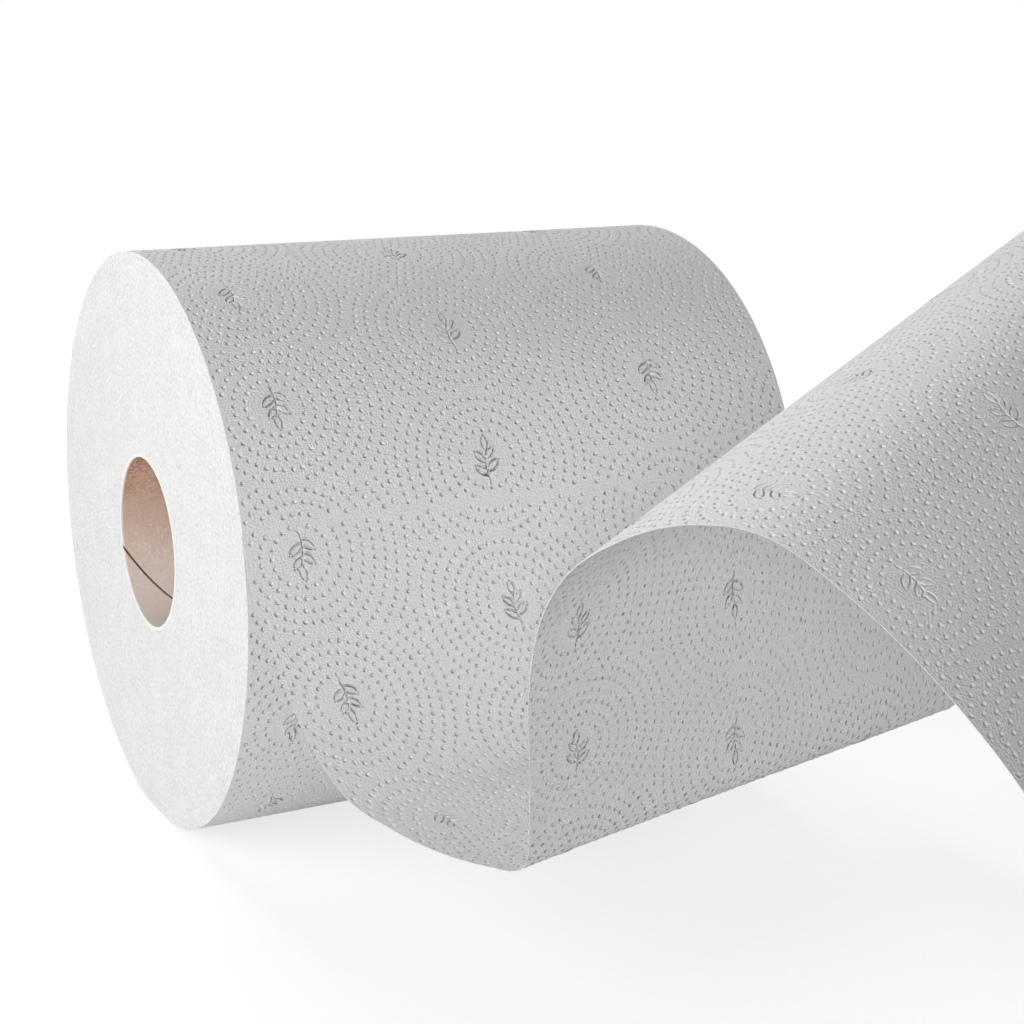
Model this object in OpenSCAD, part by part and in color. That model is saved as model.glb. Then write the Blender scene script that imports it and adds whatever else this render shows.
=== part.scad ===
// Cellulose wipe roll: an absorbent paper web wound on a cardboard core tube, lying on its side.
// The free end of the web is pulled off the front of the roll and stands in a loose wave.
// Frame: origin at the middle of the core's axis, +X along the axis, -Y towards the loose sheet, +Z up.

/* [Roll] */
// Outer diameter of the wound roll
roll_d = 202; // [150:1:260]
// Width of the paper web, which is also the length of the roll
web_w = 205; // [120:1:300]
// Width of the flat spot that the soft roll settles on
flat_spot_w = 26; // [12:1:40]

/* [Core tube] */
// Bore of the cardboard core tube
core_bore_d = 60; // [40:1:76]
// Wall of the core tube
core_wall = 1.5; // [0.8:0.1:4]
// Clearance between the core tube and the first turn of paper
core_fit = 0.1; // [0.05:0.05:0.3]

/* [Winding rings] */
// Distance from one winding ring on an end face to the next
ring_pitch = 7; // [5:0.5:14]
// Width of a ring's groove
ring_w = 0.9; // [0.5:0.1:2]
// Depth of a ring's groove
ring_depth = 0.5; // [0.3:0.1:1]

/* [Loose sheet] */
// Thickness of the embossed sheet
sheet_t = 0.6; // [0.4:0.1:1.5]
// Depth of the sheet's start below the roll's surface
lap_depth = 1.2; // [0.9:0.1:2.5]
// Angle above the roll's front at which the sheet's lap starts
lap_angle = 18; // [12:1:30]
// Distance of the sheet's edges inside the roll's end faces
edge_inset = 0.4; // [0.2:0.1:1]

/* [Hidden] */
$fn = 96;

overrun = 1;
roll_r = roll_d / 2;
core_bore_r = core_bore_d / 2;
core_r = core_bore_r + core_wall;
web_bore_r = core_r + core_fit;
floor_z = -sqrt(pow(roll_r, 2) - pow(flat_spot_w / 2, 2));

// The near edge of the loose sheet after it has left the roll: drift along the axis, distance in front of
// the axis and height above the floor, as shares of the roll's diameter.
near_edge_shares = [
    [0.03, -0.535, 0.43],
    [0.07, -0.550, 0.31],
    [0.11, -0.605, 0.22],
    [0.14, -0.710, 0.195],
    [0.17, -0.860, 0.205],
    [0.19, -0.970, 0.23],
    [0.20, -1.020, 0.28],
    [0.20, -1.010, 0.36],
    [0.21, -0.995, 0.47],
    [0.22, -1.005, 0.58],
    [0.225, -1.075, 0.67],
    [0.255, -1.165, 0.73],
    [0.285, -1.280, 0.77],
    [0.315, -1.395, 0.78],
    [0.345, -1.515, 0.74],
    [0.37, -1.655, 0.665],
    [0.395, -1.770, 0.57],
    [0.42, -1.860, 0.44],
    [0.44, -1.925, 0.29],
    [0.46, -1.990, 0.14],
    [0.485, -2.085, 0.03],
    [0.52, -2.220, 0]
];

// Direction of the sheet's straight line across the web at each of those places: turn about the vertical
// and rise above the horizontal, in degrees.
across_angles = [
    [1, 0], [3.5, 0], [8, 0], [12, 0], [14, 0], [15, 0], [15, 2], [15, 7], [15, 13], [15, 18], [15, 20.5],
    [15, 21], [15, 20.5], [16, 18.5], [17, 15], [18, 10.5], [19, 6], [19.5, 2.5], [19.5, 1], [19, 0.5],
    [18.5, 0], [18, 0]
];

// The sheet starts as a lap under the roll's surface and leaves it on a straight tangent.
lap_r = roll_r - lap_depth;
lap_start = [0, -lap_r * cos(lap_angle), lap_r * sin(lap_angle)];
lap_run_share = 1.5;
lap_run = lap_run_share * sqrt(pow(roll_r, 2) - pow(lap_r, 2));
lap_end = lap_start + lap_run * [0, -sin(lap_angle), -cos(lap_angle)];

sheet_w = web_w - 2 * edge_inset;
sheet_floor_z = floor_z + sheet_t / 2;
edge_places = concat(
    [lap_start, lap_end],
    [for (s = near_edge_shares) [0, 0, sheet_floor_z] + roll_d * s]
);
across_turns = concat([[0, 0], [0, 0]], across_angles);
steps_per_place = 5;
strips = 4;
rows = (len(edge_places) - 1) * steps_per_place;

// Entry i of a list of points, with the list carried on straight past both ends
function entry(list, i) =
    let (last = len(list) - 1)
    i < 0 ? 2 * list[0] - list[1] : i > last ? 2 * list[last] - list[last - 1] : list[i];

// Point on the smooth curve through a list of points, where t counts the points
function on_curve(list, t) =
    let (
        i = min(floor(t), len(list) - 2),
        u = t - i,
        a = entry(list, i - 1),
        b = entry(list, i),
        c = entry(list, i + 1),
        d = entry(list, i + 2)
    )
    b + (u * (c - a) + pow(u, 2) * (2 * a - 5 * b + 4 * c - d) + pow(u, 3) * (3 * b - a - 3 * c + d)) / 2;

// Unit vector of a given turn about the vertical and rise above the horizontal
function heading(turn, rise) = [cos(rise) * cos(turn), cos(rise) * sin(turn), sin(rise)];

// Point of the sheet's middle surface: t counts the places along the web, v runs from 0 to 1 across it
function on_sheet(t, v) =
    let (
        edge = on_curve(edge_places, t),
        angles = on_curve(across_turns, t),
        p = edge + [edge_inset - web_w / 2, 0, 0] + v * sheet_w * heading(angles[0], angles[1])
    )
    [p[0], p[1], max(p[2], sheet_floor_z)];

// Unit vector at right angles to the sheet, pointing to its outer side
nudge = 0.01;
function sheet_normal(t, v) =
    let (
        along = on_sheet(t + nudge, v) - on_sheet(t - nudge, v),
        over = on_sheet(t, v + nudge) - on_sheet(t, v - nudge),
        n = cross(along, over)
    )
    n / norm(n);

module core_tube() {
    color("rosybrown")
        rotate([0, 90, 0])
            difference() {
                cylinder(h = web_w, r = core_r, center = true);
                cylinder(h = web_w + 2 * overrun, r = core_bore_r, center = true);
            }
}

// Half of an end face's outline, from the bore out to the rim, with the grooves of the winding rings
function face_outline(h) = concat(
    [[web_bore_r, h]],
    [
        for (r = [web_bore_r + ring_pitch : ring_pitch : roll_r - ring_pitch / 2])
            each [[r, h], [r, h - ring_depth], [r + ring_w, h - ring_depth], [r + ring_w, h]]
    ],
    [[roll_r, h]]
);

function mirrored(outline) =
    [for (i = [len(outline) - 1 : -1 : 0]) [outline[i][0], -outline[i][1]]];

// The wound turns as one turned body with the flat spot that it rests on
module wound_turns() {
    outline = face_outline(web_w / 2);
    difference() {
        rotate([0, 90, 0])
            rotate_extrude()
                polygon(concat(outline, mirrored(outline)));
        translate([-web_w / 2 - overrun, -roll_r, floor_z - roll_r])
            cube([web_w + 2 * overrun, roll_d, roll_r]);
    }
}

// Both sides of a four-cornered face as triangles
function two_triangles(q) = [[q[0], q[1], q[2]], [q[0], q[2], q[3]]];

// The pulled-out end of the web as one thin lofted strip
module loose_sheet() {
    function place(i, j, side) = (i * (strips + 1) + j) * 2 + side;
    points = [
        for (i = [0 : rows], j = [0 : strips], side = [1, -1])
            let (t = i / steps_per_place, v = j / strips)
            on_sheet(t, v) + side * sheet_t / 2 * sheet_normal(t, v)
    ];
    faces = concat(
        [
            for (i = [0 : rows - 1], j = [0 : strips - 1])
                each concat(
                    two_triangles([place(i, j, 0), place(i, j + 1, 0), place(i + 1, j + 1, 0), place(i + 1, j, 0)]),
                    two_triangles([place(i, j, 1), place(i + 1, j, 1), place(i + 1, j + 1, 1), place(i, j + 1, 1)])
                )
        ],
        [
            for (i = [0 : rows - 1])
                each concat(
                    two_triangles([place(i, 0, 0), place(i + 1, 0, 0), place(i + 1, 0, 1), place(i, 0, 1)]),
                    two_triangles([
                        place(i + 1, strips, 0), place(i, strips, 0), place(i, strips, 1), place(i + 1, strips, 1)
                    ])
                )
        ],
        [
            for (j = [0 : strips - 1])
                each concat(
                    two_triangles([place(0, j + 1, 0), place(0, j, 0), place(0, j, 1), place(0, j + 1, 1)]),
                    two_triangles([
                        place(rows, j, 0), place(rows, j + 1, 0), place(rows, j + 1, 1), place(rows, j, 1)
                    ])
                )
        ]
    );
    polyhedron(points, faces);
}

// The paper web: its wound turns and its loose end are one continuous piece
module paper_web() {
    color("whitesmoke")
        union() {
            wound_turns();
            loose_sheet();
        }
}

core_tube();
paper_web();
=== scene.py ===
"""Cellulose wipe roll: the dressed model of an embossed paper web wound on a cardboard core tube."""
import logging
import math
from contextlib import contextmanager
from dataclasses import dataclass, field
from enum import Enum
from typing import Any, Callable, Iterator

import bpy
import numpy as np
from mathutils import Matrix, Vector
from mathutils.geometry import delaunay_2d_cdt


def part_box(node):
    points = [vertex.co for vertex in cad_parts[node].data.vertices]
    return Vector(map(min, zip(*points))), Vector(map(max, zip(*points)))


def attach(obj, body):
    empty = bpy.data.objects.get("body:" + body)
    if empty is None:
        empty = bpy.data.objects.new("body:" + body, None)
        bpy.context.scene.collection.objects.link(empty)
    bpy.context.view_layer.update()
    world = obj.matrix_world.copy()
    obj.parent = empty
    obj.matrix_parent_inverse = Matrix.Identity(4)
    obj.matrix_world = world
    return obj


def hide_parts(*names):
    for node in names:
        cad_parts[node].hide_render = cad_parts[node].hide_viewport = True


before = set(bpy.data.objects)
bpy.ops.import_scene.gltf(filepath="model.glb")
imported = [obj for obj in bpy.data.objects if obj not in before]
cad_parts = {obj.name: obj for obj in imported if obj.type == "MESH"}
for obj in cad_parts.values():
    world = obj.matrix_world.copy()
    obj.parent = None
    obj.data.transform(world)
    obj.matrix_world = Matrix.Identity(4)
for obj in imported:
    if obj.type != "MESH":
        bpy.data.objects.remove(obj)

LOG = logging.getLogger("wipe_roll")
BODY = "root"
MILLIMETRE = 0.001
FULL_TURN = 2 * math.pi
MERGE_GAP = 0.02 * MILLIMETRE
CORE_FIT = 0.1 * MILLIMETRE
CORE_WALL = 1.5 * MILLIMETRE
TINY = 1e-6
NOISE_MEAN = 0.5
WHITE = (1.0, 1.0, 1.0, 1.0)
Piece = bpy.types.Object
Array = np.ndarray
Triple = tuple[float, float, float]
Colour = Triple
Stops = tuple[tuple[float, float], ...]


class Slot(Enum):
    """Material slots of the record."""

    CORE_BOARD = "core_board"
    TISSUE_PAPER = "tissue_paper"


class Layer(Enum):
    """Names of the mesh layers that the finishes read."""

    WEB = "web"
    PRESS = "press"


class Part(Enum):
    """Parts of a mesh that can be selected, with the names of their lists."""

    VERTEX = "vertices"
    EDGE = "edges"
    FACE = "polygons"


@dataclass(frozen=True)
class Grain:
    """One noise of a finish: its waves in a metre, its share of the mix and its octaves."""

    scale: float | Triple
    share: float = 1.0
    detail: float = 3.0


def smoothstep(low: float, high: float, value: Array) -> Array:
    """Ease from 0 at low to 1 at high.

    Args:
        low: Value at which the ease starts.
        high: Value at which the ease ends.
        value: Values to ease.

    Returns:
        The eased values, from 0 to 1.
    """
    share = np.clip((value - low) / (high - low), 0.0, 1.0)
    return share * share * (3 - 2 * share)


class Workbench:
    """Blender's modelling operators, with the selection made in code."""

    @staticmethod
    def clear() -> None:
        """Deselect every object."""
        bpy.ops.object.select_all(action="DESELECT")

    @staticmethod
    def take(*objects: Piece) -> None:
        """Select some objects alone and make the first one active.

        Args:
            objects: The objects to select.
        """
        Workbench.clear()
        for chosen in objects:
            chosen.select_set(True)
        bpy.context.view_layer.objects.active = objects[0]

    @staticmethod
    def settle(name: str) -> Piece:
        """Name the object just added and put its place into its mesh.

        Args:
            name: Name of the piece.

        Returns:
            The named object, at the origin, unturned and unscaled.
        """
        made = bpy.context.object
        made.name = name
        made.data.name = name
        bpy.ops.object.transform_apply(location=True, rotation=True, scale=True)
        return made

    @staticmethod
    @contextmanager
    def editing(piece: Piece, part: Part = Part.FACE) -> Iterator[None]:
        """Edit mode on one piece, in one select mode.

        Args:
            piece: The piece to edit.
            part: What is selected: vertices, edges or faces.
        """
        Workbench.take(piece)
        bpy.context.tool_settings.mesh_select_mode = tuple(part is each for each in Part)
        bpy.ops.object.mode_set(mode="EDIT")
        try:
            yield
        finally:
            bpy.ops.object.mode_set(mode="OBJECT")

    @staticmethod
    def mark(piece: Piece, part: Part, test: Callable[[Any], bool]) -> None:
        """Select what passes a test and nothing else, in object mode.

        Args:
            piece: The piece to look at.
            part: What is selected: its vertices or its faces.
            test: Says of a vertex or a face whether it is selected.
        """
        for each in Part:
            found = getattr(piece.data, each.value)
            found.foreach_set("select", np.array([each is part and bool(test(one)) for one in found]))

    @staticmethod
    def weld(piece: Piece) -> None:
        """Merge a piece's doubled vertices and turn its faces outwards.

        Args:
            piece: The piece to weld.
        """
        with Workbench.editing(piece):
            bpy.ops.mesh.select_all(action="SELECT")
            bpy.ops.mesh.remove_doubles(threshold=MERGE_GAP)
            bpy.ops.mesh.normals_make_consistent(inside=False)

    @staticmethod
    def modify(piece: Piece, kind: str, **settings: Any) -> None:
        """Add a modifier to a piece and apply it.

        Args:
            piece: The piece to change.
            kind: The modifier's type.
            settings: The modifier's own settings.
        """
        Workbench.take(piece)
        modifier = piece.modifiers.new(kind.lower(), kind)
        for key, value in settings.items():
            setattr(modifier, key, value)
        bpy.ops.object.modifier_apply(modifier=modifier.name)

    @staticmethod
    def places(piece: Piece) -> Array:
        """Places of a piece's vertices as rows of x, y and z.

        Args:
            piece: The piece to look at.

        Returns:
            One row for each vertex.
        """
        flat = np.empty(len(piece.data.vertices) * 3)
        piece.data.vertices.foreach_get("co", flat)
        return flat.reshape(-1, 3)

    @staticmethod
    def place(piece: Piece, places: Array) -> None:
        """Move a piece's vertices to new places."""
        piece.data.vertices.foreach_set("co", places.astype(np.float32).ravel())
        piece.data.update()


class Shade:
    """A shader socket that Python expressions can use."""

    def __init__(self, graph: "Graph", socket: bpy.types.NodeSocket) -> None:
        """Wrap one output socket of a graph."""
        self.graph = graph
        self.socket = socket

    def maths(self, operation: str, *values: "Shade | float") -> "Shade":
        """Add a Math node.

        Args:
            operation: The node's operation.
            values: Its operands in order.

        Returns:
            The node's result.
        """
        return self.graph.add("ShaderNodeMath", {"operation": operation}, dict(enumerate(values)))

    def __add__(self, other: "Shade | float") -> "Shade":
        """Sum of this value and another."""
        return self.maths("ADD", self, other)

    def __sub__(self, other: "Shade | float") -> "Shade":
        """Difference of this value and another."""
        return self.maths("SUBTRACT", self, other)

    def __rsub__(self, other: float) -> "Shade":
        """Difference of a number and this value."""
        return self.maths("SUBTRACT", other, self)

    def __mul__(self, other: "Shade | float") -> "Shade":
        """Product of this value and another."""
        return self.maths("MULTIPLY", self, other)

    __radd__ = __add__
    __rmul__ = __mul__

    def root(self) -> "Shade":
        """Square root of this value."""
        return self.maths("SQRT", self)

    def highest(self, other: "Shade | float") -> "Shade":
        """The higher of this value and another."""
        return self.maths("MAXIMUM", self, other)

    def size(self) -> "Shade":
        """This value without its sign."""
        return self.maths("ABSOLUTE", self)

    def above(self, level: float) -> "Shade":
        """1 where this value is above a level, 0 elsewhere."""
        return self.maths("GREATER_THAN", self, level)

    def clipped(self) -> "Shade":
        """This value held between 0 and 1."""
        return self.maths("MAXIMUM", 0.0, self.maths("MINIMUM", self, 1.0))


class Graph:
    """The node tree of one finish, or of the world."""

    def __init__(self, owner: bpy.types.Material | bpy.types.World) -> None:
        """Empty the owner's node tree.

        Args:
            owner: The material or the world that the tree belongs to.
        """
        self.owner = owner
        owner.use_nodes = True
        self.tree = owner.node_tree
        self.tree.nodes.clear()

    @classmethod
    def for_finish(cls, name: str) -> "Graph":
        """Empty node tree of a new material."""
        return cls(bpy.data.materials.new(name))

    def add(
        self,
        kind: str,
        settings: dict[str, Any] | None = None,
        inputs: dict[Any, Any] | None = None,
        output: int | str = 0,
    ) -> Shade:
        """Add a node, with its settings first and its sockets after them.

        Args:
            kind: The node's type.
            settings: Its own settings.
            inputs: Values or links of its sockets, by name or number.
            output: The socket that is handed back, by name or number.

        Returns:
            The chosen output.
        """
        node = self.tree.nodes.new(kind)
        for key, value in (settings or {}).items():
            setattr(node, key, value)
        for key, value in (inputs or {}).items():
            if isinstance(value, Shade):
                self.tree.links.new(value.socket, node.inputs[key])
            else:
                node.inputs[key].default_value = value
        return Shade(self, node.outputs[output] if len(node.outputs) else None)

    def split(self, vector: Shade) -> tuple[Shade, Shade, Shade]:
        """The three coordinates of a vector."""
        node = self.add("ShaderNodeSeparateXYZ", inputs={"Vector": vector}).socket.node
        return tuple(Shade(self, socket) for socket in node.outputs)

    def noise(self, vector: Shade, grain: Grain) -> Shade:
        """Noise of a fine texture.

        Args:
            vector: Coordinates in metres.
            grain: The noise's waves, for all axes or for each one, and its octaves.

        Returns:
            The noise, from 0 to 1.
        """
        scales = grain.scale if isinstance(grain.scale, tuple) else (grain.scale,) * 3
        stretched = self.add("ShaderNodeMapping", inputs={"Vector": vector, "Scale": scales})
        inputs = {"Vector": stretched, "Scale": 1.0, "Detail": grain.detail}
        return self.add("ShaderNodeTexNoise", inputs=inputs)

    def blend(self, share: Shade, low: Shade | Colour, high: Colour) -> Shade:
        """Colour between two others.

        Args:
            share: 0 gives the first colour, 1 the second.
            low: The first colour, another node's or linear red, green and blue.
            high: The second colour.

        Returns:
            The mixed colour.
        """
        first = low if isinstance(low, Shade) else (*low, 1.0)
        return self.add("ShaderNodeMix", {"data_type": "RGBA"}, {0: share, 6: first, 7: (*high, 1.0)}, 2)

    def bump(self, height: Shade, distance: float, under: Shade | None = None) -> Shade:
        """Normal of a surface with a fine relief.

        Args:
            height: Relief from 0 to 1.
            distance: Height of the relief in metres.
            under: Normal that the relief lies on, where it isn't the surface's own.

        Returns:
            The bent normal.
        """
        inputs = {"Strength": 1.0, "Distance": distance, "Height": height}
        if under:
            inputs["Normal"] = under
        return self.add("ShaderNodeBump", inputs=inputs)

    def close(self, colour: Shade, roughness: Shade | float, normal: Shade, **constants: float) -> None:
        """End the tree in one Principled shader.

        Args:
            colour: The base colour.
            roughness: The roughness, a number or a socket.
            normal: The bent normal.
            constants: Other sockets of the shader, with underscores for spaces.
        """
        inputs = {"Base Color": colour, "Roughness": roughness, "Normal": normal}
        inputs.update({key.replace("_", " "): value for key, value in constants.items()})
        shader = self.add("ShaderNodeBsdfPrincipled", inputs=inputs)
        self.add("ShaderNodeOutputMaterial", inputs={"Surface": shader})


@dataclass(frozen=True)
class TissueFinish:
    """Soft white absorbent paper with a fine crepe across the web."""

    name: str = "white_tissue"
    pale: Colour = (0.92, 0.918, 0.915)
    shaded: Colour = (0.76, 0.758, 0.755)
    # Colour of the pressed dots: a painted highlight, paler than the paper, that stands in for the lit side
    # of each dot.
    painted_dot_highlight: Colour = (0.98, 0.98, 0.98)
    painted_dot_highlight_spread: float = 2.5
    clouds: Grain = Grain(70.0, 0.25)
    fibre: Grain = Grain(1300.0, 1.1, 4.0)
    crepe: Grain = Grain((300.0, 1300.0, 1.0), 0.3, 2.0)
    shade_start: float = 0.3
    relief: float = 0.0007
    press_depth: float = 0.0009
    roughness: float = 0.92
    roughness_spread: float = 0.06
    specular: float = 0.2
    sheen: float = 0.05

    def material(self) -> bpy.types.Material:
        """Make the finish.

        Returns:
            The material.
        """
        graph = Graph.for_finish(self.name)
        web = graph.add("ShaderNodeUVMap", {"uv_map": Layer.WEB.value})
        press = graph.add("ShaderNodeAttribute", {"attribute_name": Layer.PRESS.value}, output="Fac")
        clouds = graph.noise(web, self.clouds)
        fibre = graph.noise(web, self.fibre)
        crepe = graph.noise(web, self.crepe)
        back = graph.add("ShaderNodeNewGeometry", output="Backfacing")
        share = (self.clouds.share * clouds + self.fibre.share * fibre - self.shade_start).clipped()
        paper = graph.blend(share, self.pale, self.shaded)
        # Painted highlight: the pressed dots are painted paler than the paper round them.
        colour = graph.blend((self.painted_dot_highlight_spread * press).clipped(), paper, self.painted_dot_highlight)
        sunk = graph.bump((2 * back - 1) * press, self.press_depth)
        grain = self.crepe.share * crepe + (1 - self.crepe.share) * fibre
        graph.close(
            colour,
            self.roughness + self.roughness_spread * fibre,
            graph.bump(grain, self.relief, sunk),
            Specular_IOR_Level=self.specular,
            Sheen_Weight=self.sheen,
        )
        return graph.owner


@dataclass(frozen=True)
class CutEdgeFinish:
    """End face of the wound web: thousands of cut paper edges side by side."""

    name: str = "cut_paper_edges"
    pale: Colour = (0.95, 0.95, 0.95)
    shaded: Colour = (0.65, 0.65, 0.65)
    turns: Grain = Grain(900.0, 0.3)
    turn_stretch: float = 0.06
    turn_relief: float = 0.15
    fibre: Grain = Grain(800.0, 1.5, 4.0)
    blotches: Grain = Grain(90.0, 0.3, 2.0)
    shade_start: float = 0.62
    relief: float = 0.0015
    roughness: float = 0.95
    specular: float = 0.15

    def material(self) -> bpy.types.Material:
        """Make the finish.

        Returns:
            The material.
        """
        graph = Graph.for_finish(self.name)
        place = graph.add("ShaderNodeTexCoord", output="Object")
        _, y, z = graph.split(place)
        radius = (y * y + z * z).root()
        squeezed = {"X": radius, "Y": self.turn_stretch * y, "Z": self.turn_stretch * z}
        polar = graph.add("ShaderNodeCombineXYZ", inputs=squeezed)
        turns = graph.noise(polar, self.turns)
        fibre = graph.noise(place, self.fibre)
        blotches = graph.noise(place, self.blotches)
        marks = self.turns.share * turns + self.fibre.share * fibre + self.blotches.share * blotches
        colour = graph.blend((marks - self.shade_start).clipped(), self.pale, self.shaded)
        grain = self.turn_relief * turns + (1 - self.turn_relief) * fibre
        normal = graph.bump(grain, self.relief)
        graph.close(colour, self.roughness, normal, Specular_IOR_Level=self.specular)
        return graph.owner


@dataclass(frozen=True)
class CardboardFinish:
    """Brown board of the core tube, painted paler low in the bore, partly paper dust and partly painted light
    from above, and with paper dust on its cut ends.
    """

    half_length: float
    bore_radius: float
    name: str = "core_board"
    pale: Colour = (0.73, 0.49, 0.375)
    dark: Colour = (0.41, 0.215, 0.135)
    # Paler, greyer colour low in the bore: paper dust and painted light from above.
    dust_and_light: Colour = (0.83, 0.765, 0.705)
    cut: Colour = (0.84, 0.82, 0.80)
    cut_depth: float = 0.0006
    specks: Grain = Grain(850.0, 5.0, 4.0)
    clouds: Grain = Grain(110.0, 1.2)
    dark_start: float = 2.65
    dust_and_light_level: float = 0.45
    dust_and_light_fall: float = 0.75
    dust_and_light_specks: float = 2.0
    dust_and_light_cover: float = 0.95
    relief: float = 0.00015
    roughness: float = 0.85
    specular: float = 0.25

    def material(self) -> bpy.types.Material:
        """Make the finish.

        Returns:
            The material.
        """
        graph = Graph.for_finish(self.name)
        place = graph.add("ShaderNodeTexCoord", output="Object")
        x, _, z = graph.split(place)
        specks = graph.noise(place, self.specks)
        clouds = graph.noise(place, self.clouds)
        marks = self.specks.share * specks + self.clouds.share * clouds
        board = graph.blend((marks - self.dark_start).clipped(), self.pale, self.dark)
        # Paper dust and painted light: the board is painted paler towards the bottom of the bore, with specks
        # at the edge of the pale part.
        dust_and_light_share = self.dust_and_light_level - self.dust_and_light_fall / self.bore_radius * z
        low = (dust_and_light_share + self.dust_and_light_specks * (specks - NOISE_MEAN)).clipped()
        dusty_and_lit = graph.blend(self.dust_and_light_cover * low, board, self.dust_and_light)
        ends = x.size().above(self.half_length - self.cut_depth)
        colour = graph.blend(ends, dusty_and_lit, self.cut)
        normal = graph.bump(specks, self.relief)
        graph.close(colour, self.roughness, normal, Specular_IOR_Level=self.specular)
        return graph.owner


@dataclass(frozen=True)
class SeamAndShadowFinish:
    """Dark butt seam between two turns of the core's board, painted near black in its groove: the joint's own
    dark colour and painted shadow.
    """

    name: str = "core_seam_and_shadow"
    # Colours of the seam groove: the joint's dark board, deepened with painted shadow.
    pale: Colour = (0.30, 0.17, 0.11)
    dark: Colour = (0.11, 0.06, 0.04)
    fibre: Grain = Grain(900.0)
    relief: float = 0.0002
    roughness: float = 0.95
    specular: float = 0.1

    def material(self) -> bpy.types.Material:
        """Make the finish.

        Returns:
            The material.
        """
        graph = Graph.for_finish(self.name)
        fibre = graph.noise(graph.add("ShaderNodeTexCoord", output="Object"), self.fibre)
        colour = graph.blend(fibre, self.pale, self.dark)
        normal = graph.bump(fibre, self.relief)
        graph.close(colour, self.roughness, normal, Specular_IOR_Level=self.specular)
        return graph.owner


@dataclass(frozen=True)
class RollSizes:
    """Main sizes of the roll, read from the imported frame, in metres."""

    radius: float
    width: float
    bore_radius: float
    core_radius: float
    core_bore_radius: float
    floor_z: float

    @classmethod
    def from_frame(cls) -> "RollSizes":
        """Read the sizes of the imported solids.

        Returns:
            The sizes.
        """
        core_low, core_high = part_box("core_tube")
        web_low, web_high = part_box("paper_web")
        return cls(
            radius=web_high.y,
            width=core_high.x - core_low.x,
            bore_radius=core_high.y + CORE_FIT,
            core_radius=core_high.y,
            core_bore_radius=core_high.y - CORE_WALL,
            floor_z=web_low.z,
        )


@dataclass(frozen=True)
class Stretch:
    """A stretch of the flat web: its start and end along the web, and its width."""

    low: float
    high: float
    width: float

    def holds(self, points: Array, room: float) -> Array:
        """Say which points lie on the stretch and away from its edges.

        Args:
            points: Rows of place along and place across.
            room: Least distance from an edge.

        Returns:
            True or False for each point.
        """
        along, across = points.T
        held = (along > self.low + room) & (along < self.high - room)
        return held & (across > room) & (across < self.width - room)


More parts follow.
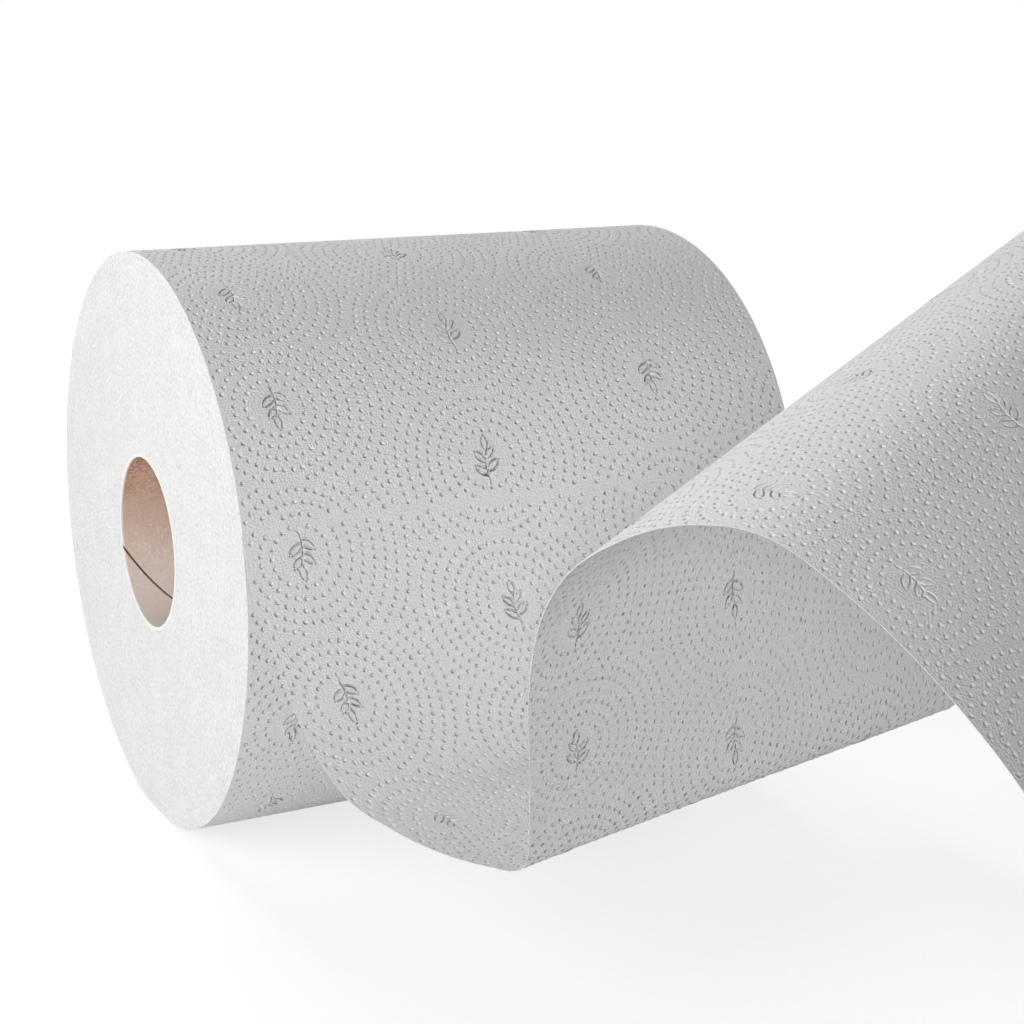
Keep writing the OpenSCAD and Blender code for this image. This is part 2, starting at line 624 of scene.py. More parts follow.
@dataclass(frozen=True)
class EmbossPattern:
    """Scallops of pressed dots with a leaf sprig in the middle of each, on the flat web."""

    column_pitch: float = 0.0683
    row_pitch: float = 0.0480
    first_across: float = 0.0180
    first_along: float = 0.0105
    ring_gap: float = 0.00375
    first_ring: float = 0.0096
    dot_gap: float = 0.0030
    least_gap: float = 0.0024
    least_dots: int = 6
    tie_gap: float = 1e-9
    dot_radius: float = 0.00095
    dot_sides: int = 5
    depth: float = 0.0003
    edge_room: float = 0.0013
    groove_flank: float = 0.0005
    groove_step: float = 0.0008
    bottom_gap: float = 0.00040
    flank_gap: float = 0.00036
    flank_room: float = 0.00045
    stem_start: float = -0.0072
    stem_length: float = 0.0098
    stem_bow: float = 0.0008
    stem_steps: int = 16
    # Each leaf's place as a share of the stem, its turn in degrees and its length.
    leaves: tuple[Triple, ...] = (
        (0.16, 52.0, 0.0056), (0.32, -50.0, 0.0058), (0.60, 44.0, 0.0052), (0.74, -42.0, 0.0050),
        (1.0, 2.0, 0.0052),
    )
    leaf_start: float = 0.12
    leaf_belly: float = 0.21
    leaf_blunt: float = 0.8

    def centres(self, stretch: Stretch) -> Array:
        """Middles of the scallops in and around a stretch of the web.

        Args:
            stretch: The stretch of the web.

        Returns:
            Rows of place along and place across.
        """
        columns = np.arange(-1, math.ceil(stretch.width / self.column_pitch) + 2)
        first = math.floor((stretch.low - self.first_along) / self.row_pitch) - 1
        last = math.ceil((stretch.high - self.first_along) / self.row_pitch) + 1
        found = [
            (self.first_along + (row + 0.5 * (column % 2)) * self.row_pitch,
             self.first_across + column * self.column_pitch)
            for column in columns
            for row in range(first, last + 1)
        ]
        return np.array(found)

    def dots(self, stretch: Stretch) -> Array:
        """Middles of the dots on a stretch of the web.

        Args:
            stretch: The stretch of the web.

        Returns:
            Rows of place along and place across.
        """
        centres = self.centres(stretch)
        reach = math.hypot(self.column_pitch, self.row_pitch)
        rings = []
        for number, ring in enumerate(np.arange(self.first_ring, reach, self.ring_gap)):
            count = max(self.least_dots, round(FULL_TURN * ring / self.dot_gap))
            turns = (np.arange(count) + 0.5 * (number % 2)) * FULL_TURN / count
            rings.append(np.stack([ring * np.cos(turns), ring * np.sin(turns)], axis=1))
        rosette = np.concatenate(rings)
        own_reach = np.hypot(rosette[:, 0], rosette[:, 1])
        kept = []
        for centre in centres:
            points = centre + rosette
            held = stretch.holds(points, self.edge_room)
            points = points[held]
            if not len(points):
                continue
            spans = np.linalg.norm(points[:, None, :] - centres[None, :, :], axis=2).min(axis=1)
            kept.append(points[own_reach[held] <= spans + self.tie_gap])
        return self.thinned(np.concatenate(kept), self.least_gap)

    @staticmethod
    def thinned(points: Array, gap: float) -> Array:
        """Leave out the points that come too close to an earlier one.

        Args:
            points: The points, as rows.
            gap: Least distance between two points.

        Returns:
            The points that stay.
        """
        cells: dict[tuple[int, int], list[int]] = {}
        stay = []
        for index, point in enumerate(points):
            column, row = (int(part // gap) for part in point)
            around = [(column + i, row + j) for i in (-1, 0, 1) for j in (-1, 0, 1)]
            others = [other for cell in around for other in cells.get(cell, ())]
            if all(math.dist(points[other], point) >= gap for other in others):
                cells.setdefault((column, row), []).append(index)
                stay.append(index)
        return points[stay]

    def sprig(self) -> list[Array]:
        """Lines of one leaf sprig about its own middle.

        Returns:
            Each line as rows of place along and place across.
        """
        run = np.linspace(0.0, 1.0, self.stem_steps + 1)
        bow = self.stem_bow * np.sin(math.pi * run)
        stem = np.stack([self.stem_start + self.stem_length * run, bow], axis=1)
        lines = [stem]
        for share, turn, length in self.leaves:
            base = stem[round(share * self.stem_steps)]
            lean = math.radians(turn)
            ahead = np.array([math.cos(lean), math.sin(lean)])
            aside = np.array([-ahead[1], ahead[0]])
            walk = np.linspace(self.leaf_start, 1.0, round(length / self.groove_step))
            belly = self.leaf_belly * length * np.sin(math.pi * walk) ** self.leaf_blunt
            for side in (1, -1):
                lines.append(base + np.outer(length * walk, ahead) + np.outer(side * belly, aside))
        return lines

    def sprig_points(self) -> tuple[Array, Array]:
        """Groove bottoms and flanks of one sprig.

        Returns:
            Places of the bottoms, and places of the flanks beside them.
        """
        lines, flanks = self.sprig(), []
        for line in lines:
            ahead = np.gradient(line, axis=0)
            ahead /= np.linalg.norm(ahead, axis=1)[:, None]
            aside = np.stack([-ahead[:, 1], ahead[:, 0]], axis=1) * self.groove_flank
            flanks += [line + aside, line - aside]
        bottom = self.thinned(np.concatenate(lines), self.bottom_gap)
        flank = np.concatenate(flanks)
        apart = np.linalg.norm(flank[:, None, :] - bottom[None, :, :], axis=2).min(axis=1)
        return bottom, self.thinned(flank[apart > self.flank_room], self.flank_gap)

    def grooves(self, stretch: Stretch) -> list[Array]:
        """Groove bottoms and flanks of all sprigs on a stretch, turned round in every other column.

        Args:
            stretch: The stretch of the web.

        Returns:
            Places of the bottoms, and places of the flanks.
        """
        centres = self.centres(stretch)
        columns = np.round((centres[:, 1] - self.first_across) / self.column_pitch)
        turns = np.where(columns % 2 == 0, 1, -1)
        found = []
        for part in self.sprig_points():
            points = np.concatenate([centre + turn * part for centre, turn in zip(centres, turns)])
            found.append(points[stretch.holds(points, self.edge_room)])
        return found

    def flat_mesh(
        self, stretch: Stretch, along_count: int, across_count: int
    ) -> tuple[Array, Array, Array]:
        """Triangles of a stretch of the web with its pressed pattern.

        Args:
            stretch: The stretch of the web.
            along_count: Steps on each long edge.
            across_count: Steps on each cross edge.

        Returns:
            Places along and across, depths from 0 to 1, and triangles.
        """
        dots = self.dots(stretch)
        turns = np.arange(self.dot_sides) * FULL_TURN / self.dot_sides
        rim = self.dot_radius * np.stack([np.cos(turns), np.sin(turns)], axis=1)
        rims = (dots[:, None, :] + rim[None, :, :]).reshape(-1, 2)
        bottoms, flanks = self.grooves(stretch)
        rows = np.linspace(stretch.low, stretch.high, along_count + 1)
        steps = np.linspace(0.0, stretch.width, across_count + 1)[1:-1]
        border = [(row, side) for side in (0.0, stretch.width) for row in rows]
        border += [(end, step) for end in (stretch.low, stretch.high) for step in steps]
        points = np.concatenate([dots, bottoms, rims, flanks, np.array(border)])
        depth = np.zeros(len(points))
        depth[: len(dots) + len(bottoms)] = 1.0
        made = delaunay_2d_cdt([Vector(point) for point in points], [], [], 0, TINY, True)
        origin = np.array([sources[0] for sources in made[3]])
        return points[origin], depth[origin], np.array(made[2])


def crease_rims(mesh: bpy.types.Mesh, faces: Array, sunk: Array, along: Array) -> None:
    """Mark the rims of the pressed dots and grooves as sharp, so that the paper between them stays flat.

    Args:
        mesh: The mesh of the pressed web.
        faces: Its triangles.
        sunk: True for the vertices at the bottom of a dot or groove.
        along: Place of each vertex along the web, whose two ends are sharp too.
    """
    count = len(mesh.vertices)
    lone = faces[sunk[faces].sum(axis=1) == 1]
    rims = np.sort(lone[~sunk[lone]].reshape(-1, 2), axis=1)
    ends = np.empty(len(mesh.edges) * 2, dtype=np.int64)
    mesh.edges.foreach_get("vertices", ends)
    pairs = np.sort(ends.reshape(-1, 2), axis=1)
    marks = np.isin(pairs[:, 0] * count + pairs[:, 1], rims[:, 0] * count + rims[:, 1])
    for end in (along.min(), along.max()):
        marks |= (np.abs(along[pairs] - end) < TINY).all(axis=1)
    sharp = mesh.attributes.new("sharp_edge", "BOOLEAN", "EDGE")
    sharp.data.foreach_set("value", marks)


def mesh_piece(
    name: str, places: Array, faces: Array, web: Array, press: Array
) -> Piece:
    """Make a smooth mesh piece that carries its place on the flat web.

    Args:
        name: Name of the piece.
        places: Places of the vertices.
        faces: Triangles.
        web: Place across and along the web of each vertex.
        press: Depth of the pressing at each vertex, from 0 to 1.

    Returns:
        The new object.
    """
    mesh = bpy.data.meshes.new(name)
    mesh.from_pydata(places.tolist(), [], faces.tolist())
    corners = np.empty(len(mesh.loops), dtype=np.int32)
    mesh.loops.foreach_get("vertex_index", corners)
    layer = mesh.uv_layers.new(name=Layer.WEB.value)
    layer.data.foreach_set("uv", web[corners].astype(np.float32).ravel())
    depth = mesh.attributes.new(Layer.PRESS.value, "FLOAT", "POINT")
    depth.data.foreach_set("value", press.astype(np.float32))
    mesh.polygons.foreach_set("use_smooth", np.ones(len(mesh.polygons), dtype=bool))
    mesh.update()
    crease_rims(mesh, faces, press > 0, web[:, 1])
    made = bpy.data.objects.new(name, mesh)
    bpy.context.collection.objects.link(made)
    return made


@dataclass
class WoundRoll:
    """The wound turns of the web, with ringed end faces and an embossed outer turn."""

    sizes: RollSizes
    pattern: EmbossPattern
    facets: int = 192
    leave_facets: int = 8
    across_steps: int = 64
    ring_pitch: float = 0.007
    ring_width: float = 0.0009
    ring_depth: float = 0.00004
    ring_flank: float = 0.0002
    rim_band: float = MILLIMETRE
    end_facing: float = 0.9
    side_facing: float = 0.1
    cut_facing: float = 0.6
    cut_share: float = 0.49
    under_step: float = 0.0008
    under_ease: float = 0.003
    under_fade: tuple[float, float] = (0.06, 0.12)
    smooth_angle: float = 50.0

    @property
    def leave_angle(self) -> float:
        """Angle above the roll's front at which the web leaves it."""
        return self.leave_facets * FULL_TURN / self.facets

    def build(self) -> Piece:
        """Model the roll.

        Returns:
            The finished piece.
        """
        roll = self.turned_body()
        skin = self.embossed_turn()
        Workbench.take(roll, skin)
        bpy.ops.object.join()
        Workbench.weld(roll)
        self.settle_on_floor(roll)
        self.dress(roll)
        return roll

    def turned_body(self) -> Piece:
        """End faces with their winding rings, and the wall of the bore.

        Returns:
            The roll without its outer turn.
        """
        sizes = self.sizes
        Workbench.clear()
        bpy.ops.mesh.primitive_cylinder_add(
            vertices=self.facets, radius=sizes.radius, depth=sizes.width, rotation=(0, math.pi / 2, 0)
        )
        roll = Workbench.settle("wound_roll")
        Workbench.mark(roll, Part.FACE, lambda face: abs(face.normal.x) > self.end_facing)
        with Workbench.editing(roll):
            for thickness, depth in self.face_steps():
                bpy.ops.mesh.inset(thickness=thickness, depth=depth)
            bpy.ops.mesh.delete(type="FACE")
        with Workbench.editing(roll, Part.EDGE):
            bpy.ops.mesh.select_all(action="DESELECT")
            bpy.ops.mesh.select_non_manifold()
            bpy.ops.mesh.bridge_edge_loops()
        rim = sizes.radius - self.rim_band
        Workbench.mark(
            roll,
            Part.FACE,
            lambda face: abs(face.normal.x) < self.side_facing and math.hypot(*face.center.yz) > rim,
        )
        with Workbench.editing(roll):
            bpy.ops.mesh.delete(type="FACE")
        return roll

    def face_steps(self) -> list[tuple[float, float]]:
        """Insets that take an end face from its rim to its bore.

        Returns:
            Thickness and depth of each inset, in order.
        """
        pitch, reached = self.ring_pitch, self.sizes.radius
        rings = np.arange(self.sizes.bore_radius + pitch, reached - pitch / 2, pitch)
        steps = []
        for ring in rings[::-1]:
            outer = ring + self.ring_width
            steps += [
                (reached - outer, 0.0),
                (self.ring_flank, -self.ring_depth),
                (self.ring_width - 2 * self.ring_flank, 0.0),
                (self.ring_flank, self.ring_depth),
            ]
            reached = ring
        return steps + [(reached - self.sizes.bore_radius, 0.0)]

    def embossed_turn(self) -> Piece:
        """The outer turn with its pressed pattern, wrapped round the roll.

        Returns:
            The outer turn as an object of its own.
        """
        sizes = self.sizes
        stretch = Stretch(-FULL_TURN * sizes.radius, 0.0, sizes.width)
        flat, press, faces = self.pattern.flat_mesh(stretch, self.facets, self.across_steps)
        radius = sizes.radius - press * self.pattern.depth
        angle = self.leave_angle - flat[:, 0] / sizes.radius
        places = np.stack(
            [flat[:, 1] - sizes.width / 2, -radius * np.cos(angle), radius * np.sin(angle)], axis=1
        )
        return mesh_piece("outer_turn", places, faces, flat[:, ::-1], press)

    def settle_on_floor(self, roll: Piece) -> None:
        """Sink the turn under the loose sheet and press the flat spot.

        Args:
            roll: The joined roll.
        """
        sizes = self.sizes
        places = Workbench.places(roll)
        radius = np.hypot(places[:, 1], places[:, 2])
        angle = np.arctan2(places[:, 2], -places[:, 1])
        below = ((self.leave_angle - angle) % FULL_TURN) * sizes.radius
        step = self.under_step * smoothstep(0.0, self.under_ease, below)
        step *= 1 - smoothstep(*self.under_fade, below)
        step[radius < sizes.radius - self.rim_band] = 0.0
        places[:, 1:] *= (1 - step / radius)[:, None]
        places[:, 2] = np.maximum(places[:, 2], sizes.floor_z)
        Workbench.place(roll, places)

    def dress(self, roll: Piece) -> None:
        """Args:
            roll: The modelled roll.
        """
        roll.data.materials.clear()
        for finish in (TissueFinish(), CutEdgeFinish()):
            roll.data.materials.append(finish.material())
        cut_start = self.cut_share * self.sizes.width
        for face in roll.data.polygons:
            face.material_index = int(abs(face.normal.x) > self.cut_facing and abs(face.center.x) > cut_start)
        Workbench.take(roll)
        bpy.ops.object.shade_smooth_by_angle(angle=math.radians(self.smooth_angle))
        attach(roll, BODY)
        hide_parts("paper_web")


@dataclass
class LooseSheet:
    """The pulled-out end of the web, standing in a loose wave in front of the roll."""

    sizes: RollSizes
    pattern: EmbossPattern
    leave_angle: float
    edge_inset: float = 0.0004
    lift: float = 0.0004
    tangent_run: float = 0.017
    thickness: float = 0.0002
    # Places along the web and the share of the pressed relief that is left at each of them.
    press_stops: Stops = (
        (0.0, 0.0), (0.0015, 0.9), (0.090, 0.9), (0.125, 1.1), (0.155, 1.1), (0.182, 0.62), (0.285, 0.62),
        (0.310, 0.9), (0.330, 0.9), (0.400, 0.5),
    )
    fold_stops: Stops = ((0.132, 1.0), (0.147, 0.45), (0.166, 0.45), (0.182, 1.0))
    along_steps: int = 250
    across_steps: int = 80
    table_steps: int = 40
    nudge: float = 0.5 * MILLIMETRE
    front_room: float = 0.005
    smooth_angle: float = 60.0
    # Length, slant, phase and height of each slow ripple.
    ripples: tuple[tuple[float, float, float, float], ...] = (
        (0.145, 0.31, 0.4, 0.0004), (0.083, -0.22, 2.1, 0.0003), (0.210, 0.12, 4.0, 0.0004),
    )
    ripple_ease: tuple[float, float] = (0.03, 0.14)
    # The near edge: drift along the axis, place in front of it and height above the floor, in roll diameters.
    near_edge_shares: tuple[Triple, ...] = (
        (0.025, -0.535, 0.43), (0.063, -0.550, 0.31), (0.106, -0.605, 0.217), (0.14, -0.710, 0.195),
        (0.165, -0.835, 0.1985), (0.185, -0.945, 0.2135), (0.195, -0.996, 0.226), (0.201, -1.018, 0.249),
        (0.204, -1.016, 0.30), (0.206, -1.009, 0.37), (0.21, -0.995, 0.47), (0.22, -1.005, 0.58),
        (0.225, -1.075, 0.668), (0.255, -1.165, 0.727), (0.285, -1.280, 0.769), (0.315, -1.395, 0.778),
        (0.345, -1.515, 0.733), (0.37, -1.655, 0.658), (0.395, -1.770, 0.565), (0.42, -1.860, 0.437),
        (0.44, -1.925, 0.29), (0.46, -1.990, 0.14), (0.485, -2.085, 0.03), (0.52, -2.220, 0.0),
    )
    # Turn about the vertical and rise of the line across the web at each of those places, in degrees.
    across_angles: Stops = (
        (1, 0), (3.5, 0), (8, 0), (12, 0), (14, -0.2), (15, -0.2), (15, 0.2), (15, 1.5), (15, 4), (15, 7.5),
        (15, 13), (15, 17.4), (15, 19.9), (15, 20.5), (15, 20), (16, 18), (17, 14.3), (18, 10.2), (19, 6),
        (19.5, 2.5), (19.5, 1), (19, 0.5), (18.5, 0), (18, 0),
    )
    places_along: Array = field(init=False)
    turns_along: Array = field(init=False)
    lengths: Array = field(init=False)
    counts: Array = field(init=False)

    def __post_init__(self) -> None:
        """Lay out the near edge, the lines across the web and the web's length."""
        radius = self.sizes.radius
        cosine, sine = math.cos(self.leave_angle), math.sin(self.leave_angle)
        start = radius * np.array([0.0, -cosine, sine])
        tangent = np.array([0.0, -sine, -cosine])
        rest = 2 * radius * np.array(self.near_edge_shares) + [0.0, 0.0, self.sizes.floor_z + self.lift]
        self.places_along = np.vstack([start, start + self.tangent_run * tangent, rest])
        self.turns_along = np.radians(np.vstack([np.zeros((2, 2)), np.array(self.across_angles)]))
        last = len(self.places_along) - 1
        self.counts = np.linspace(0, last, last * self.table_steps + 1)
        middle = self.ruled(self.counts, np.full(len(self.counts), 0.5))
        steps = np.linalg.norm(np.diff(middle, axis=0), axis=1)
        self.lengths = np.concatenate([[0.0], np.cumsum(steps)])

    @property
    def width(self) -> float:
        """Width of the sheet."""
        return self.sizes.width - 2 * self.edge_inset

    @property
    def length(self) -> float:
        """Length of the sheet along its middle."""
        return float(self.lengths[-1])

    @staticmethod
    def on_curve(points: Array, count: Array) -> Array:
        """Places on the smooth curve through some points.

        Args:
            points: The points, as rows.
            count: Where on the curve, counted in points.

        Returns:
            One row for each count.
        """
        carried = np.vstack([2 * points[0] - points[1], points, 2 * points[-1] - points[-2]])
        index = np.clip(np.floor(count).astype(int), 0, len(points) - 2)
        share = (count - index)[:, None]
        before, first, second, after = (carried[index + step] for step in range(4))
        bend = 2 * before - 5 * first + 4 * second - after
        twist = 3 * first - before - 3 * second + after
        return first + (share * (second - before) + share**2 * bend + share**3 * twist) / 2

    def ruled(self, count: Array, share: Array) -> Array:
        """Places of the smooth sheet.

        Args:
            count: Where along the near edge, counted in its places.
            share: Where across the web, from 0 at the near edge to 1.

        Returns:
            One row for each pair.
        """
        edge = self.on_curve(self.places_along, count)
        turn, rise = self.on_curve(self.turns_along, count).T
        heading = np.stack([np.cos(rise) * np.cos(turn), np.cos(rise) * np.sin(turn), np.sin(rise)], axis=1)
        places = edge + [self.edge_inset - self.sizes.width / 2, 0.0, 0.0]
        places = places + (share * self.width)[:, None] * heading
        places[:, 2] = np.maximum(places[:, 2], self.sizes.floor_z + self.lift)
        return places

    def surface(self, along: Array, across: Array) -> Array:
        """Places of the smooth sheet by lengths on the flat web."""
        return self.ruled(np.interp(along, self.lengths, self.counts), across / self.width)

    def normals(self, along: Array, across: Array) -> Array:
        """Unit normals of the smooth sheet on its outer side.

        Args:
            along: Places along the flat web.
            across: Places across it.

        Returns:
            One row for each pair.
        """
        ends = self.surface(np.minimum(along + self.nudge, self.length), across)
        ahead = ends - self.surface(np.maximum(along - self.nudge, 0.0), across)
        aside = self.surface(along, across + self.nudge) - self.surface(along, across - self.nudge)
        normal = np.cross(ahead, aside)
        return normal / np.linalg.norm(normal, axis=1)[:, None]

    def build(self) -> Piece:
        """Model the sheet.

        Returns:
            The finished piece.
        """
        stretch = Stretch(0.0, self.length, self.width)
        flat, press, faces = self.pattern.flat_mesh(stretch, self.along_steps, self.across_steps)
        along, across = flat[:, 0], flat[:, 1]
        press = press * self.share_left(self.press_stops, along)
        height = -press * self.share_left(self.fold_stops, along) * self.pattern.depth
        ease = smoothstep(*self.ripple_ease, along)
        for length, slant, phase, size in self.ripples:
            waves = along / length + slant * across / length
            height = height + ease * size * np.sin(FULL_TURN * waves + phase)
        places = self.surface(along, across) + height[:, None] * self.normals(along, across)
        places[:, 2] = np.maximum(places[:, 2], self.sizes.floor_z + self.thickness)
        sheet = mesh_piece("loose_sheet", places, faces, flat[:, ::-1], press)
        self.face_outwards(sheet)
        self.dress(sheet)
        self.turn_edges(sheet)
        return sheet

    @staticmethod
    def share_left(stops: Stops, along: Array) -> Array:
        """Share of the pressed relief that is left at places along the web."""
        places, shares = zip(*stops)
        return np.interp(along, places, shares)

    def turn_edges(self, sheet: Piece) -> None:
        """Give the sheet's cut edges the thickness of the paper."""
        Workbench.modify(
            sheet, "SOLIDIFY", thickness=self.thickness, offset=-1.0, use_rim=True, use_rim_only=True,
            material_offset_rim=1,
        )
        bpy.ops.object.shade_smooth_by_angle(angle=math.radians(self.smooth_angle))

    def face_outwards(self, sheet: Piece) -> None:
        """Turn the sheet's faces to its outer side, which faces forward where it leaves the roll.

        Args:
            sheet: The modelled sheet.
        """
        front = -self.sizes.radius - self.front_room
        near = [face for face in sheet.data.polygons if face.center.y > front and face.center.z > 0.0]
        if sum(face.normal.y for face in near) > 0:
            sheet.data.flip_normals()

    def dress(self, sheet: Piece) -> None:
        """Args:
            sheet: The modelled sheet.
        """
        for finish in (TissueFinish(), CutEdgeFinish()):
            sheet.data.materials.append(finish.material())
        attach(sheet, BODY)
        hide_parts("paper_web")
        self.width


@dataclass
class CoreTube:
    """Cardboard tube wound from one spiral strip, whose butt seam shows inside the bore."""

    sizes: RollSizes
    lead: float = 0.108
    seam_below_back: float = 15.9
    steps: int = 96
    turns: int = 4
    strip_cuts: int = 9
    seam_width: float = 0.0003
    seam_flank: float = 0.0003
    seam_depth: float = 0.0005
    seam_band: tuple[float, float] = (0.2, 1.2)
    end_facing: float = 0.99
    smooth_angle: float = 35.0

    def build(self) -> Piece:
        """Model the tube.

        Returns:
            The finished piece.
        """
        tube = self.strip_line()
        self.wind(tube)
        self.trim(tube)
        self.thicken(tube)
        self.dress(tube)
        return tube

    def strip_line(self) -> Piece:
        """The line across the strip, from one butt edge to the other, with its seam groove.

        Returns:
            The line as an object.
        """
        sizes = self.sizes
        turned = (90.0 + self.seam_below_back) / 360.0
        start = -sizes.width / 2 - turned * self.lead + (self.turns - 1) * self.lead
        flat = self.lead - 2 * self.seam_flank - self.seam_width
        Workbench.clear()
        bpy.ops.mesh.primitive_plane_add(
            size=flat, location=(start + flat / 2 + self.seam_flank, flat / 2, sizes.core_bore_radius)
        )
        tube = Workbench.settle("core_board_tube")
        Workbench.mark(tube, Part.VERTEX, lambda vertex: vertex.co.y > flat / 2)
        with Workbench.editing(tube, Part.VERTEX):
            bpy.ops.mesh.delete(type="VERT")
            bpy.ops.mesh.select_all(action="SELECT")
            bpy.ops.mesh.subdivide(number_cuts=self.strip_cuts)
        high = max(vertex.co.x for vertex in tube.data.vertices)
        low = min(vertex.co.x for vertex in tube.data.vertices)
        moves = (
            (high, ((self.seam_flank, 0, self.seam_depth), (self.seam_width, 0, 0))),
            (low, ((-self.seam_flank, 0, self.seam_depth),)),
        )
        for end, shifts in moves:
            Workbench.mark(tube, Part.VERTEX, lambda vertex: abs(vertex.co.x - end) < TINY)
            with Workbench.editing(tube, Part.VERTEX):
                for shift in shifts:
                    bpy.ops.mesh.extrude_region_move(TRANSFORM_OT_translate={"value": shift})
        return tube

    def wind(self, tube: Piece) -> None:
        """Wind the strip into a tube."""
        Workbench.modify(
            tube, "SCREW", axis="X", screw_offset=-self.lead, iterations=self.turns, steps=self.steps,
            render_steps=self.steps, use_smooth_shade=True,
        )

    def trim(self, tube: Piece) -> None:
        """Cut the tube to the web's width and close the seams.

        Args:
            tube: The wound tube.
        """
        half = self.sizes.width / 2
        with Workbench.editing(tube, Part.VERTEX):
            for side in (-1, 1):
                bpy.ops.mesh.select_all(action="SELECT")
                bpy.ops.mesh.bisect(
                    plane_co=(side * half, 0, 0), plane_no=(side, 0, 0), clear_outer=True, threshold=TINY
                )
        Workbench.weld(tube)

    def thicken(self, tube: Piece) -> None:
        """Give the board its wall, out to the turns of paper.

        Args:
            tube: The trimmed tube.
        """
        sizes = self.sizes
        outwards = sum(
            face.normal.y * face.center.y + face.normal.z * face.center.z for face in tube.data.polygons
        )
        wall = sizes.core_radius - sizes.core_bore_radius
        Workbench.modify(tube, "SOLIDIFY", thickness=wall, offset=1.0 if outwards > 0 else -1.0)
        places = Workbench.places(tube)
        radius = np.hypot(places[:, 1], places[:, 2])
        outer = radius > (sizes.core_radius + sizes.core_bore_radius) / 2
        places[outer, 1:] *= (sizes.core_radius / radius[outer])[:, None]
        places[:, 0] = np.clip(places[:, 0], -sizes.width / 2, sizes.width / 2)
        Workbench.place(tube, places)
        with Workbench.editing(tube):
            bpy.ops.mesh.select_all(action="SELECT")
            bpy.ops.mesh.normals_make_consistent(inside=False)

    def dress(self, tube: Piece) -> None:
        """Args:
            tube: The modelled tube.
        """
        board = CardboardFinish(self.sizes.width / 2, self.sizes.core_bore_radius)
        for finish in (board, SeamAndShadowFinish()):
            tube.data.materials.append(finish.material())
        # Faces sunk in the seam groove get the seam's dark colour with painted shadow.
        low, high = (self.sizes.core_bore_radius + share * self.seam_depth for share in self.seam_band)
        for face in tube.data.polygons:
            sunk = low < math.hypot(*face.center.yz) < high
            face.material_index = int(sunk and abs(face.normal.x) < self.end_facing)
        Workbench.take(tube)
        bpy.ops.object.shade_smooth_by_angle(angle=math.radians(self.smooth_angle))
        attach(tube, BODY)
        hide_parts("core_tube")


@dataclass(frozen=True)
class SoftLight:
    """One square soft light: its place, its side in metres and its power in watts."""

    name: str
    place: Triple
    side: float
    power: float


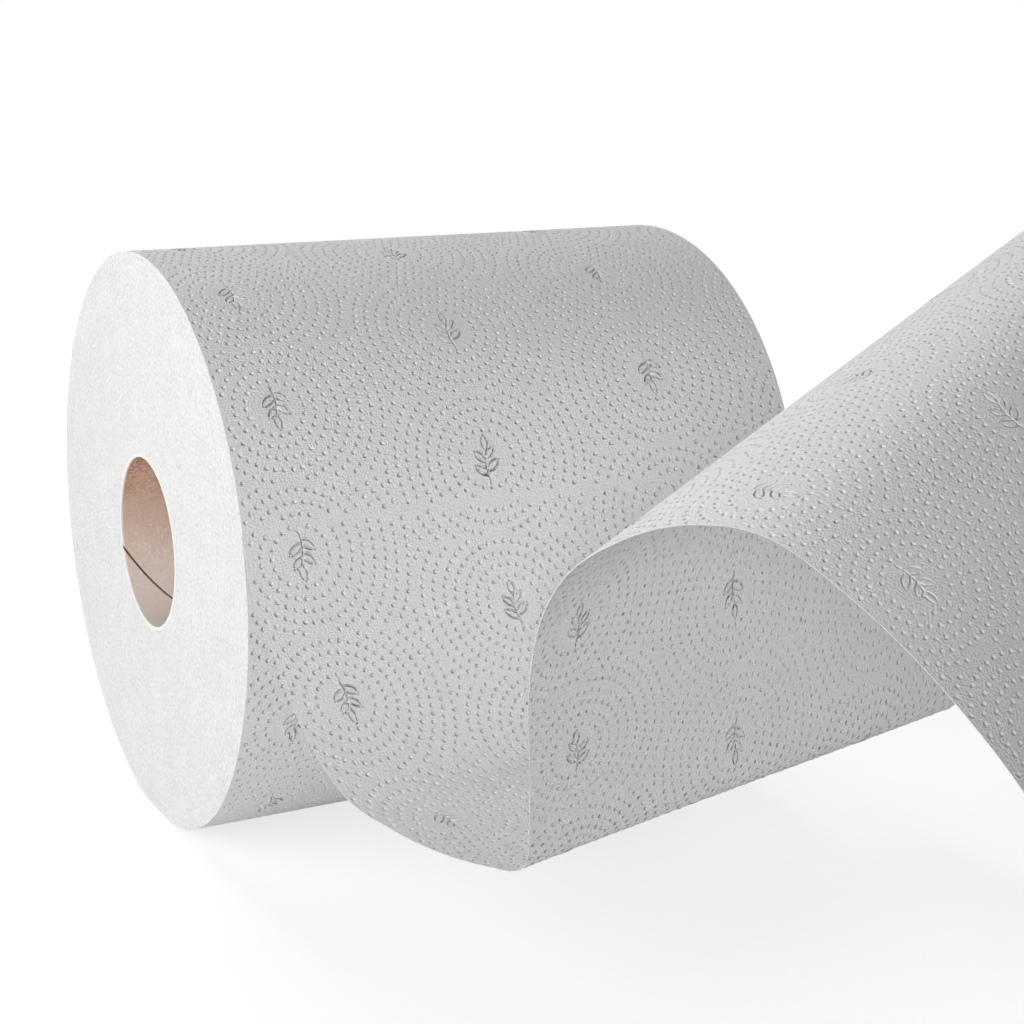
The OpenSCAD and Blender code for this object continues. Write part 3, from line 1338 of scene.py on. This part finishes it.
@dataclass
class Studio:
    """Plain pale floor, soft light and the camera at the photograph's viewing angle."""

    floor_z: float
    floor_size: float = 30.0
    camera_place: Triple = (-0.30215, -0.65215, 0.1724)
    camera_turn: Triple = (76.441, 0.0, -27.808)
    lens: float = 69.55
    sensor: float = 36.0
    ambient: float = 0.145
    shadow_share: float = 0.5
    shadow_reach: tuple[float, float] = (0.5, 1.6)
    floor_white: float = 0.86
    floor_glow: float = 0.4
    aim: Triple = (0.03, -0.12, 0.0)
    lights: tuple[SoftLight, ...] = (
        SoftLight("key_light", (-0.70, -0.10, 0.35), 0.45, 2.0),
        SoftLight("end_light", (-0.90, 0.0, 0.10), 0.45, 1.3),
        SoftLight("front_light", (-1.194, -1.564, 0.277), 0.8, 15.5),
        SoftLight("top_light", (0.0, 0.30, 0.90), 0.45, 0.7),
        SoftLight("back_light", (0.0, 1.64, 1.15), 0.8, 15.0),
        SoftLight("far_light", (1.50, 1.0, 0.60), 0.8, 8.0),
    )

    def build(self) -> None:
        """Set up the floor, world, lights and camera."""
        self.floor()
        self.world()
        for light in self.lights:
            self.hang(light)
        self.camera()
        bpy.context.scene.view_settings.view_transform = "Standard"

    @staticmethod
    def seen_directly(graph: Graph) -> Shade:
        """1 for rays that show the background, 0 for rays that light the object.

        Args:
            graph: The node tree that asks.

        Returns:
            The socket that says so.
        """
        node = graph.add("ShaderNodeLightPath").socket.node
        camera, glossy, through = (
            Shade(graph, node.outputs[name])
            for name in ("Is Camera Ray", "Is Glossy Ray", "Is Transmission Ray")
        )
        return camera.highest(glossy).highest(through)

    def floor(self) -> None:
        """White floor that keeps the object's shadow."""
        Workbench.clear()
        bpy.ops.mesh.primitive_plane_add(size=self.floor_size, location=(0, 0, self.floor_z))
        floor = Workbench.settle("studio_floor")
        graph = Graph.for_finish("studio_floor")
        white = (self.floor_white,) * 3 + (1.0,)
        matte = graph.add("ShaderNodeBsdfDiffuse", inputs={"Color": white})
        x, y, _ = graph.split(graph.add("ShaderNodeTexCoord", output="Object"))
        start, end = self.shadow_reach
        near = (end / (end - start) - 1 / (end - start) * (x * x + y * y).root()).clipped()
        glow = graph.add(
            "ShaderNodeEmission", inputs={"Color": WHITE, "Strength": 1 + self.floor_glow * near}
        )
        share = (1 - self.shadow_share * near) * self.seen_directly(graph)
        mixed = graph.add("ShaderNodeMixShader", inputs={0: share, 1: matte, 2: glow})
        graph.add("ShaderNodeOutputMaterial", inputs={"Surface": mixed})
        floor.data.materials.append(graph.owner)

    def world(self) -> None:
        """White background that lights the object at a plain level."""
        graph = Graph(bpy.data.worlds.new("studio_world"))
        light, shown = (
            graph.add("ShaderNodeBackground", inputs={"Color": WHITE, "Strength": strength})
            for strength in (self.ambient, 1.0)
        )
        mixed = graph.add("ShaderNodeMixShader", inputs={0: self.seen_directly(graph), 1: light, 2: shown})
        graph.add("ShaderNodeOutputWorld", inputs={"Surface": mixed})
        bpy.context.scene.world = graph.owner

    def hang(self, light: SoftLight) -> None:
        """Add one soft light that looks at the object.

        Args:
            light: The light's place, size and power.
        """
        back = Vector(light.place) - Vector(self.aim)
        turn = back.to_track_quat("Z", "Y").to_euler()
        Workbench.clear()
        bpy.ops.object.light_add(type="AREA", location=light.place, rotation=turn)
        lamp = bpy.context.object
        lamp.name = light.name
        lamp.visible_camera = False
        lamp.data.size = light.side
        lamp.data.energy = light.power

    def camera(self) -> None:
        """Add the camera."""
        Workbench.clear()
        turn = tuple(math.radians(angle) for angle in self.camera_turn)
        bpy.ops.object.camera_add(location=self.camera_place, rotation=turn)
        camera = bpy.context.object
        camera.data.lens = self.lens
        camera.data.sensor_width = self.sensor
        bpy.context.scene.camera = camera


def main() -> None:
    """Build the pieces in order and report each one."""
    logging.basicConfig(level=logging.INFO, format="%(name)s: %(message)s")
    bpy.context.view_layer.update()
    sizes = RollSizes.from_frame()
    Studio(floor_z=sizes.floor_z).build()
    pattern = EmbossPattern()
    roll = WoundRoll(sizes, pattern)
    sheet = LooseSheet(sizes, pattern, roll.leave_angle)
    for maker in (roll, sheet, CoreTube(sizes)):
        piece = maker.build()
        piece.data.calc_loop_triangles()
        LOG.info("%s: %d triangles", piece.name, len(piece.data.loop_triangles))


if __name__ == "__main__":
    main()
